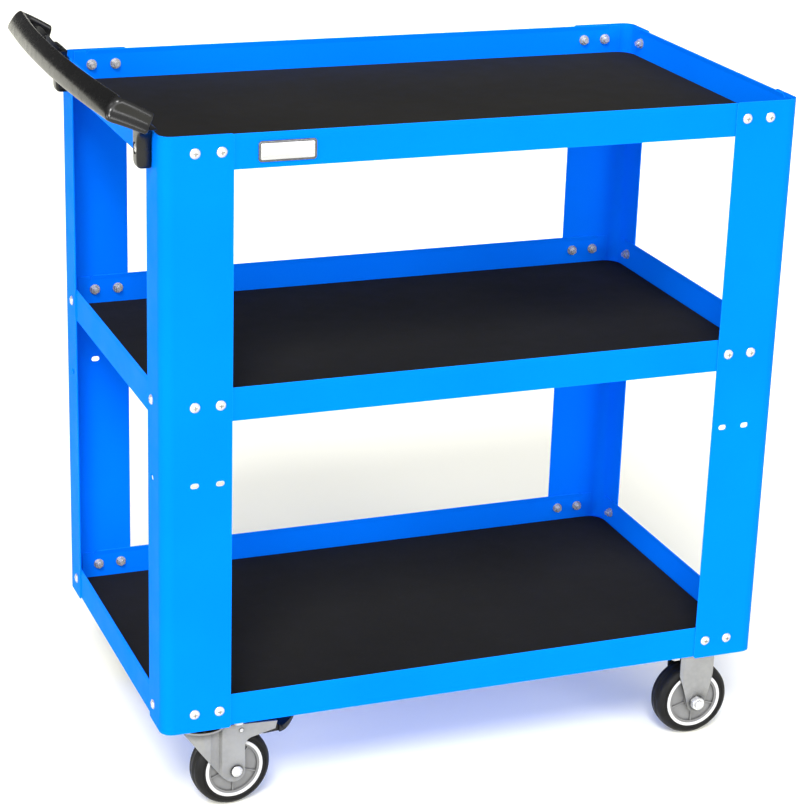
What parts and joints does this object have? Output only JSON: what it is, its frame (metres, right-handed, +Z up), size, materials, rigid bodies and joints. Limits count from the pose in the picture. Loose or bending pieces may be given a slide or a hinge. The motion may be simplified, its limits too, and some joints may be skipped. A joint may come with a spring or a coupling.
{
  "type": "rolling utility cart",
  "caption": "Steel cart with stacked open trays on angle posts, rubber mats, a push handle at one end, and two fixed and two braked swivel casters.",
  "frame": {"origin": "centre of the bounding box's bottom face, on the floor", "axes": "+X along the length away from the push handle, +Y to the back, +Z up"},
  "size_m": [0.8646, 0.488, 0.9107],
  "materials": {
    "blue_paint": "gloss powder coat",
    "mat_rubber": "matt foam rubber",
    "zinc_fasteners": "bright zinc plate",
    "zinc_pressing": "satin zinc plate",
    "ball_steel": "polished",
    "handle_plastic": "gloss moulded",
    "pedal_plastic": "satin moulded",
    "name_plate_metal": "satin",
    "tyre_rubber": "satin rubber",
    "rim_white": "satin moulded",
    "hub_grey": "satin moulded",
    "bush_nylon": "satin nylon"
  },
  "bodies": {
    "cart_frame": {"post_front_left": "blue_paint", "post_front_right": "blue_paint", "post_back_left": "blue_paint", "post_back_right": "blue_paint", "top_tray": "blue_paint", "top_mat": "mat_rubber", "top_shelf_screws": "zinc_fasteners", "top_shelf_nuts": "zinc_fasteners", "middle_tray": "blue_paint", "middle_mat": "mat_rubber", "middle_shelf_screws": "zinc_fasteners", "middle_shelf_nuts": "zinc_fasteners", "bottom_tray": "blue_paint", "bottom_mat": "mat_rubber", "bottom_shelf_screws": "zinc_fasteners", "bottom_shelf_nuts": "zinc_fasteners", "push_handle": "handle_plastic", "handle_screws": "zinc_fasteners", "name_plate": "name_plate_metal", "caster_bolts": "zinc_fasteners", "caster_nuts": "zinc_fasteners", "fixed_axle_bolts": "zinc_fasteners", "fixed_axle_nuts": "zinc_fasteners", "swivel_plate_front_left": "zinc_pressing", "kingpin_front_left": "zinc_pressing", "swivel_plate_back_left": "zinc_pressing", "kingpin_back_left": "zinc_pressing", "bracket_front_right": "zinc_pressing", "bracket_back_right": "zinc_pressing"},
    "wheel_front_left": {"tyre_front_left": "tyre_rubber", "rim_front_left": "rim_white", "hub_front_left": "hub_grey", "wheel_bush_front_left": "bush_nylon"},
    "swivel_front_left": {"fork_front_left": "zinc_pressing", "race_balls_front_left": "ball_steel", "axle_bolt_front_left": "zinc_fasteners", "axle_nut_front_left": "zinc_fasteners", "pedal_pin_front_left": "zinc_fasteners"},
    "brake_front_left": {"brake_pedal_front_left": "pedal_plastic"},
    "wheel_back_left": {"tyre_back_left": "tyre_rubber", "rim_back_left": "rim_white", "hub_back_left": "hub_grey", "wheel_bush_back_left": "bush_nylon"},
    "swivel_back_left": {"fork_back_left": "zinc_pressing", "race_balls_back_left": "ball_steel", "axle_bolt_back_left": "zinc_fasteners", "axle_nut_back_left": "zinc_fasteners", "pedal_pin_back_left": "zinc_fasteners"},
    "brake_back_left": {"brake_pedal_back_left": "pedal_plastic"},
    "wheel_front_right": {"tyre_front_right": "tyre_rubber", "rim_front_right": "rim_white", "hub_front_right": "hub_grey", "wheel_bush_front_right": "bush_nylon"},
    "wheel_back_right": {"tyre_back_right": "tyre_rubber", "rim_back_right": "rim_white", "hub_back_right": "hub_grey", "wheel_bush_back_right": "bush_nylon"}
  },
  "joints": [
    {"name": "swivel_front_left", "type": "hinge", "parent": "cart_frame", "child": "swivel_front_left", "pos_m": [-0.29885, -0.181, 0.11], "axis": [0, 0, 1], "continuous": true},
    {"name": "wheel_spin_front_left", "type": "hinge", "parent": "swivel_front_left", "child": "wheel_front_left", "pos_m": [-0.25909, -0.17661, 0.05], "axis": [-0.1097, 0.994, 0], "continuous": true},
    {"name": "brake_press_front_left", "type": "hinge", "parent": "swivel_front_left", "child": "brake_front_left", "pos_m": [-0.25313, -0.17595, 0.1045], "axis": [-0.1097, 0.994, 0], "range_deg": [0, 6]},
    {"name": "swivel_back_left", "type": "hinge", "parent": "cart_frame", "child": "swivel_back_left", "pos_m": [-0.29885, 0.181, 0.11], "axis": [0, 0, 1], "continuous": true},
    {"name": "wheel_spin_back_left", "type": "hinge", "parent": "swivel_back_left", "child": "wheel_back_left", "pos_m": [-0.25909, 0.18539, 0.05], "axis": [-0.1097, 0.994, 0], "continuous": true},
    {"name": "brake_press_back_left", "type": "hinge", "parent": "swivel_back_left", "child": "brake_back_left", "pos_m": [-0.25313, 0.18605, 0.1045], "axis": [-0.1097, 0.994, 0], "range_deg": [0, 6]},
    {"name": "wheel_spin_front_right", "type": "hinge", "parent": "cart_frame", "child": "wheel_front_right", "pos_m": [0.36915, -0.181, 0.05], "axis": [0, 1, 0], "continuous": true},
    {"name": "wheel_spin_back_right", "type": "hinge", "parent": "cart_frame", "child": "wheel_back_right", "pos_m": [0.36915, 0.181, 0.05], "axis": [0, 1, 0], "continuous": true}
  ]
}
